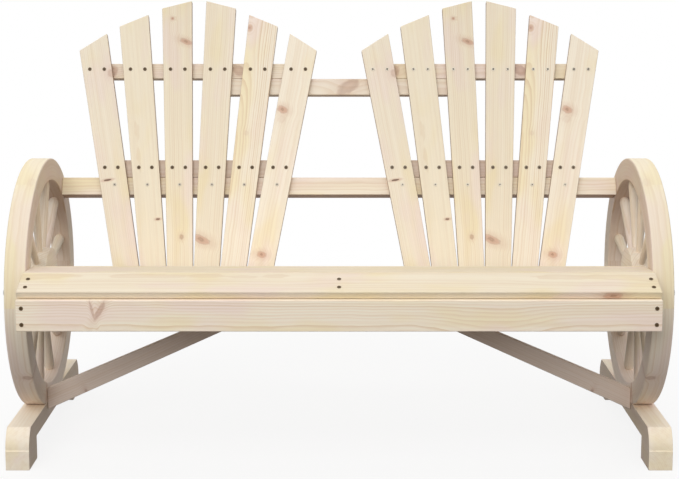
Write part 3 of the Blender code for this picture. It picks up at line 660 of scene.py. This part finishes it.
turn = add("ShaderNodeMath", [turn, step], operation="MULTIPLY")
turn = add("ShaderNodeCombineXYZ", {"X": turn})
ring = add("GeometryNodeInstanceOnPoints", {"Points": hub, "Instance": spoke, "Rotation": turn})
ring = add("GeometryNodeRealizeInstances", [ring])
# each spoke is cut from another place in the tree
island = add("GeometryNodeInputMeshIsland")
stray = add("FunctionNodeRandomValue", [(0.0, -0.05, 0.03), (9.0, 0.05, 0.07), island, given["Seed"]],
            data_type="FLOAT_VECTOR")
grain = add("GeometryNodeInputNamedAttribute", ["grain"], data_type="FLOAT_VECTOR")
grain = add("ShaderNodeVectorMath", [grain, stray], operation="ADD")
for name, value in (("grain", grain), ("tone", (-0.02, -0.35, 0.3))):
    ring = add("GeometryNodeStoreNamedAttribute", {"Geometry": ring, "Name": name, "Value": value},
               data_type="FLOAT_VECTOR")
closeTree(add, ring, fir)


def rimWays(angle):
    # the ways out from the hub and along the rim, at an angle from the front, upwards
    return Vector((0.0, -math.cos(angle), math.sin(angle))), Vector((0.0, math.sin(angle), math.cos(angle)))


def felloeMarks(mesh, centre, sign, seed):
    # the rim is glued up from felloes, whose grain follows the rim
    dice = random.Random(seed)
    span = 2 * math.pi / wheel["felloes"]
    # of each felloe: its start along the grain, its heart outwards and sideways, and its shade
    ranges = ((0, 30), (0.03, 0.08), (-0.04, 0.04), (-0.02, 0.02))
    hearts = [[dice.uniform(low, high) for low, high in ranges] for i in range(wheel["felloes"])]
    grain, tone, spots = [], [], []
    for face in mesh.polygons:
        middle = face.center - centre
        angle = math.atan2(middle.z, -middle.y)
        number = int(angle % (2 * math.pi) // span)
        outward, along = rimWays(span * (number + 0.5))
        start, heartOut, heartSide, shade = hearts[number]
        # painted shade: the inner edge and the side towards the seat are drawn darker, and show more of the
        # dark late wood
        outwards = face.normal.dot(middle) / math.hypot(middle.y, middle.z)
        shadedSide = 1.0 if outwards < -0.5 else (0.5 if face.normal.x * sign < -0.5 else 0.0)
        # the nearest tread mark: a knot, or the painted shadow by the foot
        degrees, length, width, depth = min(
            wheel["treadKnotsAndShadow"], key=lambda knot: abs(math.degrees(angle) - knot[0]))
        markOut, markAlong = rimWays(math.radians(degrees))
        markAt = markOut * wheel["radius"]
        for loop in face.loop_indices:
            here = mesh.vertices[mesh.loops[loop].vertex_index].co - centre
            swing = math.atan2(here.dot(along), here.dot(outward))
            out, across = math.hypot(here.y, here.z) - wheel["grainRadius"], here.x * sign
            grain.extend((swing * wheel["radius"] + start, out + heartOut, across + heartSide))
            # darker and colder high up inside, warmer and lighter low down outside: the darkening is painted
            # shade and the lightening painted light
            paintedShade, warmth = [min(most, max(least, level + here.z * rise))
                             for level, rise, least, most in (wheel["paintedShade"], wheel["warmth"])]
            paintedShade, warmth = shadedSide * paintedShade, warmth * (1 - shadedSide) - shadedSide
            lift = wheel["lift"] + (1 - shadedSide) * max(0.0, -here.z) * wheel["lowPaintedLight"]
            tone.extend((shade + lift - wheel["paintedShadeDepth"] * paintedShade, shade * 3 + warmth,
                         wheel["contrast"] + paintedShade))
            run = (here - markAt).dot(markAlong)
            near = 1.0 if (here - markAt).length < wheel["markReach"] else 0.0
            spots.extend((run / length, (across - wheel["markSide"]) / width, depth * near))
    for name, values in (("grain", grain), ("tone", tone), ("knot1", spots)):
        setLayer(mesh, name, values)


def hubOutline():
    turns = [2 * math.pi * i / wheel["spokes"] for i in range(wheel["spokes"])]
    return [(wheel["hubRadius"] * math.cos(turn), wheel["hubRadius"] * math.sin(turn)) for turn in turns]


foot = {
    "height": 0.0803, "thickness": 0.046, "frontReach": 0.26, "rearReach": 0.277, "pad": 0.073,
    "arch": 0.0455, "toeFace": 0.039, "toeRadius": 0.053, "facets": 24,
    "ledge": 0.0012,  # the block under each toe stands a hair proud of the round
    # how much painted shade darkens the side that faces the seat
    "innerShadeDepth": 0.38,
}


def footOutline(y):
    # side view of a foot from (Y, Z) points: pads, arch and rounded toes
    sweep = math.asin((foot["height"] - foot["toeFace"]) / foot["toeRadius"])
    turns = [sweep * i / foot["facets"] for i in range(foot["facets"] + 1)]
    arc = [(foot["toeRadius"] * (1 - math.cos(turn)), foot["toeFace"] + foot["toeRadius"] * math.sin(turn))
           for turn in turns]
    front, rear, ledge, pad = y - foot["frontReach"], y + foot["rearReach"], foot["ledge"], foot["pad"]
    block = foot["toeFace"] - ledge
    return [(front, 0.0), (front, block), *[(front + ledge + run, rise) for run, rise in arc],
            *[(rear - ledge - run, rise) for run, rise in reversed(arc)], (rear, block), (rear, 0.0),
            (rear - pad, 0.0), (rear - pad, foot["arch"]), (front + pad, foot["arch"]), (front + pad, 0.0)]


for side, sign in sides.items():
    centre = middleOf("hub_" + side)
    item = grown(f"rim_{side}_ring", rimTree, rimSizes)
    flatFaces(item)
    rim = finished(f"wheel_rim_{side}", item, ["rim_" + side])
    rim.data.transform(Matrix.Translation(centre))
    felloeMarks(rim.data, centre, sign, 80)

    nodes = [f"spoke_{side}_{number:02d}" for number in range(1, wheel["spokes"] + 1)]
    spokes = finished(f"wheel_spokes_{side}", grown("spokes", spokeTree, spokeSizes), nodes)
    spokes.data.transform(Matrix.Translation(centre))

    sawnBoard(f"wheel_hub_{side}", ["hub_" + side], "hub", hubOutline(), wheel["thickness"],
              turned(centre, (90, "Z"), (90, "X")), edge=wheel["hubEdge"], seed=84, heart=(0.01, 0.03),
              tone=(-0.01, -0.1, 0.3))
    runner = sawnBoard(f"sledge_foot_{side}", ["foot_" + side], "foot", footOutline(centre.y),
                       foot["thickness"],
                       turned((middleOf("foot_" + side).x, 0.0, 0.0), (90, "Z"), (90, "X")), seed=90,
                       heart=(-0.02, -sign * 0.05), tone=(0.13, -0.2, -0.4), ends=False)
    # painted shade on the side that faces the seat
    shadedFaces(runner.data, Vector((-sign, 0.0, 0.0)), foot["innerShadeDepth"])
print("wheels and feet made")

# screws and bolts
screws = {
    "head": {"Head Width": 7.8, "Head Rise": 0.9, "Slot Width": 1.2, "Slot Span": 4.4, "Slot Depth": 0.6,
             "Seed": 4},  # mm, as the next three
    "wornAndSlotShade": {"Slot Width": 1.9, "Slot Span": 4.8},  # the driver has opened these up
    "plug": {"Head Width": 7.2, "Slot Span": 3.6},
    "headDepth": 3.0, "headFacets": 20,
    "bolt": {"Head Width": 0.018, "Head Rise": 0.0045},  # metres, as all that follow
    "boltReach": 0.235, "boltAngles": (6.5, 171.0),
    "upperLevel": 0.257, "upperOffsets": (-0.0157, 0.0157),  # levels lie above the long rail
    "lowerLevel": 0.0377, "lowerOffsets": (-0.014, 0.014),
    "plugLevel": 0.0, "plugOffsets": (0.0015,),
    "seatPlaces": (-0.5818, 0.0, 0.5834), "seatSteps": (-0.0174, 0.0105),
    "apronPlaces": (-0.5857, 0.5857), "apronLevels": (0.3387, 0.3079),
    # how much of the brown is gone, on the left and on the right fan
    "upperPale": {-1: 0.0, 1: 1.0}, "upperEndPale": {-1: 0.0, 1: 0.8},
    "lowerPale": {-1: 0.0, 1: 0.12}, "plugPale": {-1: 0.72, 1: 0.92},
}
# coated screw: matt dark brown, pale where it is bare zinc, with painted shade in its slot
brownSteel, shader, add = newMaterial("browned_steel")
pale = add("ShaderNodeAttribute", attribute_name="pale").outputs["Fac"]
recess = add("ShaderNodeAttribute", attribute_name="recess").outputs["Fac"]
spotted = add("ShaderNodeTexNoise", {"Vector": add("ShaderNodeTexCoord").outputs["Object"], "Scale": 1400.0})
# painted shade in the slot, a little less on bare zinc
wornAndSlotShade = add("ShaderNodeMath", [pale, -0.15, 1.0], operation="MULTIPLY_ADD")
wornAndSlotShade = add("ShaderNodeMath", [wornAndSlotShade, recess], operation="MULTIPLY")
colour = linearColour("#503C1E")
for amount, over in ((spotted, "#705731"), (pale, "#EFE5D2"), (wornAndSlotShade, "#2F2210")):
    colour = add("ShaderNodeMix", [amount, colour, linearColour(over)], data_type="RGBA")
fill(shader, {"Base Color": colour, "Metallic": 0.0, "Roughness": 0.55})

# bolt heads: cool grey with a soft shine
zinc, shader, add = newMaterial("zinc_plated_steel")
flake = add("ShaderNodeTexNoise", {"Vector": add("ShaderNodeTexCoord").outputs["Object"], "Scale": 700.0})
grey = add("ShaderNodeMix", [flake, linearColour("#A3A3A1"), linearColour("#C6C5C0")], data_type="RGBA")
fill(shader, {"Base Color": grey, "Metallic": 1.0, "Roughness": 0.38})


def headsOn(add, given, head, seed=None):
    # a head on each point, square to its face, and turned at random where there is a seed
    facing = add("GeometryNodeInputNamedAttribute", ["facing"], data_type="FLOAT_VECTOR")
    aimed = add("FunctionNodeAlignRotationToVector", {"Vector": facing}, axis="Z")
    if seed:
        turn = add("FunctionNodeRandomValue", [0.0, math.pi / 2, None, seed])
        turn = add("FunctionNodeAxisAngleToRotation", [(0.0, 0.0, 1.0), turn])
        aimed = add("FunctionNodeRotateRotation", [aimed, turn], rotation_space="LOCAL")
    return add("GeometryNodeInstanceOnPoints",
               {"Points": given["Geometry"], "Instance": head, "Rotation": aimed})


# the head is cut in millimetres, because cuts this small go wrong in metres
screwTree, add, given, where = newTree("countersunk_screws", screws["head"])
radius = add("ShaderNodeMath", [given["Head Width"], 0.5], operation="MULTIPLY")
head = add("GeometryNodeMeshCylinder",
           {"Vertices": screws["headFacets"], "Radius": radius, "Depth": screws["headDepth"]})
drop = add("ShaderNodeMath", [given["Head Rise"], screws["headDepth"] / 2], operation="SUBTRACT")
head = add("GeometryNodeTransform", [head, add("ShaderNodeCombineXYZ", {"Z": drop})])
slotTop = add("ShaderNodeMath", [given["Slot Depth"], 2.0], operation="MULTIPLY")
cross = add("GeometryNodeMeshBoolean", operation="UNION")
for first, second in (("Slot Span", "Slot Width"), ("Slot Width", "Slot Span")):
    size = add("ShaderNodeCombineXYZ", [given[first], given[second], slotTop])
    fill(cross, {"Mesh 2": add("GeometryNodeMeshCube", [size])})
cross = add("GeometryNodeTransform", [cross, add("ShaderNodeCombineXYZ", {"Z": given["Head Rise"]})])
head = add("GeometryNodeMeshBoolean", {"Mesh 1": head, "Mesh 2": cross}, operation="DIFFERENCE")
# the slot's floor, which the material darkens as painted shade
sunk = add("ShaderNodeMath", [given["Slot Depth"], -0.3, given["Head Rise"]], operation="MULTIPLY_ADD")
sunk = add("ShaderNodeMath", [where["Z"], sunk], operation="LESS_THAN")
head = add("GeometryNodeStoreNamedAttribute", {"Geometry": head, "Name": "recess", "Value": sunk},
           domain="FACE")
head = add("GeometryNodeTransform", {"Geometry": head, "Scale": (0.001, 0.001, 0.001)})
closeTree(add, headsOn(add, given, head, given["Seed"]), brownSteel)

boltTree, add, given, where = newTree("dome_bolts", screws["bolt"])
dome = add("GeometryNodeMeshUVSphere", {"Segments": 32, "Rings": 16, "Radius": 1.0})
half = add("ShaderNodeMath", [given["Head Width"], 0.5], operation="MULTIPLY")
domeX, domeY = [add("ShaderNodeMath", [where[axis], half], operation="MULTIPLY") for axis in ("X", "Y")]
domeZ = add("ShaderNodeMath", [where["Z"], -0.05], operation="MAXIMUM")
domeZ = add("ShaderNodeMath", [domeZ, given["Head Rise"]], operation="MULTIPLY")
spot = add("ShaderNodeCombineXYZ", [domeX, domeY, domeZ])
dome = add("GeometryNodeSetPosition", {"Geometry": dome, "Position": spot})
dome = add("GeometryNodeSetShadeSmooth", [dome])
closeTree(add, headsOn(add, given, dome), zinc)


def scatter(name, tree, sizes, spots, material):
    # spots: place, facing and paleness of each head
    mesh = bpy.data.meshes.new(name)
    mesh.from_pydata([tuple(spot[0]) for spot in spots], [], [])
    setLayer(mesh, "facing", [value for spot in spots for value in spot[1]], domain="POINT")
    setLayer(mesh, "pale", [spot[2] for spot in spots], "FLOAT", "POINT")
    finished(name, grown(name, tree, sizes, mesh), [], material)


def onSlat(sign, number, level, offset):
    # a point on a slat's front face, at a level above the long rail, so that the rows run level
    middle = sign * fanOffset + (level + back["apexDrop"]) * math.tan(slatLean(number))
    return backPlace @ Vector((middle + offset, level, back["slatThickness"]))


slatScrews, wornScrews, plugs, seatScrews, bolts = [], [], [], [], []
for sign in sides.values():
    upperScrews = wornScrews if sign > 0 else slatScrews
    for number in range(1, 7):
        upperPale = "upperPale" if number < 6 else "upperEndPale"
        for row, heads, pale in (("upper", upperScrews, upperPale), ("lower", slatScrews, "lowerPale"),
                                 ("plug", plugs, "plugPale")):
            for offset in screws[row + "Offsets"]:
                spot = onSlat(sign, number, screws[row + "Level"], offset)
                heads.append((spot, backFacing, screws[pale][sign]))

# of the seat slats, the front one alone is screwed from above
place = turned(middleOf("seat_slat_1"), (seat["tilts"][0], "X"))
seatUp = place.to_3x3() @ Vector((0.0, 0.0, 1.0))
for x in screws["seatPlaces"]:
    for y in screws["seatSteps"]:
        seatScrews.append((place @ Vector((x, y, seat["slatThickness"] / 2)), seatUp, 0.0))
for x in screws["apronPlaces"]:
    for z in screws["apronLevels"]:
        seatScrews.append((Vector((x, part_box("apron")[0].y, z)), Vector((0.0, -1.0, 0.0)), 0.0))

for side, sign in sides.items():
    low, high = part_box("rim_" + side)
    for degrees in screws["boltAngles"]:
        spot = middleOf("hub_" + side) + rimWays(math.radians(degrees))[0] * screws["boltReach"]
        spot.x = low.x if sign < 0 else high.x
        bolts.append((spot, Vector((sign, 0.0, 0.0)), 0.0))

for name, sizes, spots, slot in (
        ("screws_back", {}, slatScrews, "back_slat"),
        ("screws_back_worn", screws["wornAndSlotShade"], wornScrews, "back_slat"),
        ("screws_rail", screws["plug"], plugs, "back_slat"), ("screws_seat", {}, seatScrews, "seat_slat")):
    scatter(name, screwTree, dict(screws["head"], **sizes), spots, brownSteel)
scatter("bolts_wheels", boltTree, screws["bolt"], bolts, zinc)
screwCount = len(slatScrews + wornScrews + plugs + seatScrews)
print("screws and bolts made:", screwCount, "screws,", len(bolts), "bolts")

# floor, light and camera
studio = {
    "floor": "#F6F5F3", "bounce": "#67625F",  # what the eye sees of the paper, and what it throws back
    "floorRadius": 30.0, "ambient": 0.55,
    "shadow": 0.16, "shadowReach": (0.6, 2.0),  # how much of the shadow shows, and where it fades out
    "aim": (0.0, 0.0, 0.4),
    # place, width, height and watts of each softbox
    "softboxes": {
        "key_wide": ((-0.6, -4.0, 5.0), 7.0, 2.4, 142.0),
        "front_left": ((-1.3, -5.8, 2.9), 2.0, 2.0, 82.0),
        "back_fill": ((0.0, 4.4, 4.4), 3.4, 2.4, 80.0)},
}
white = (1.0, 1.0, 1.0, 1.0)


def seenDirectly(add):
    # 1 where the camera sees a thing itself, in a reflection or through glass
    path = add("ShaderNodeLightPath").outputs
    seen = add("ShaderNodeMath", [path["Is Camera Ray"], path["Is Glossy Ray"]], operation="MAXIMUM")
    return add("ShaderNodeMath", [seen, path["Is Transmission Ray"]], operation="MAXIMUM")


# matt white paper that fades out to the white behind it
paper, shader, add = newMaterial("backdrop_paper")
seen = seenDirectly(add)
tint = add("ShaderNodeMix", [seen, linearColour(studio["bounce"]), linearColour(studio["floor"])],
           data_type="RGBA")
fill(shader, {"Base Color": tint, "Roughness": 1.0, "Specular IOR Level": 0.0})
away = add("ShaderNodeVectorMath", [add("ShaderNodeTexCoord").outputs["Object"]], operation="LENGTH")
shown = add("ShaderNodeMapRange", [away, *studio["shadowReach"], studio["shadow"], 0.0],
            interpolation_type="SMOOTHSTEP")
glow = add("ShaderNodeMath", [1.0, shown], operation="SUBTRACT")
glow = add("ShaderNodeMath", [glow, seen], operation="MULTIPLY")
mixed = add("ShaderNodeMixShader", [glow, shader, add("ShaderNodeEmission", [white, 1.0])])
fill(paper.node_tree.nodes["Material Output"], {"Surface": mixed})
shape = bmesh.new()
bmesh.ops.create_circle(shape, cap_ends=True, radius=studio["floorRadius"], segments=64)
floor = smoothItem("floor", shape)
floor.data.materials.append(paper)

world = bpy.data.worlds.new("studio")
scene.world = world
world.use_nodes = True
add = partial(addNode, world.node_tree)
strength = add("ShaderNodeMapRange", [seenDirectly(add), 0.0, 1.0, studio["ambient"], 1.0])
fill(world.node_tree.nodes["Background"], {"Color": white, "Strength": strength})

for name, (place, width, height, watts) in studio["softboxes"].items():
    lamp = bpy.data.lights.new(name, "AREA")
    lamp.shape = "RECTANGLE"
    lamp.size, lamp.size_y, lamp.energy = width, height, watts
    item = newItem(name, lamp)
    item.location = place
    item.rotation_euler = (Vector(studio["aim"]) - Vector(place)).to_track_quat("-Z", "Y").to_euler()
    item.visible_camera = False

view = {"place": (0.0, -2.9176, 0.9523), "pitch": 0.13, "lens": 76.762, "shift": (0.00059, -0.11458)}
lens = bpy.data.cameras.new("camera")
lens.sensor_width, lens.lens = 36.0, view["lens"]
lens.shift_x, lens.shift_y = view["shift"]
camera = newItem("camera", lens)
camera.location = view["place"]
camera.rotation_euler = (math.pi / 2 - view["pitch"], 0.0, 0.0)
scene.camera = camera
scene.view_settings.view_transform = "Standard"
print("studio made")
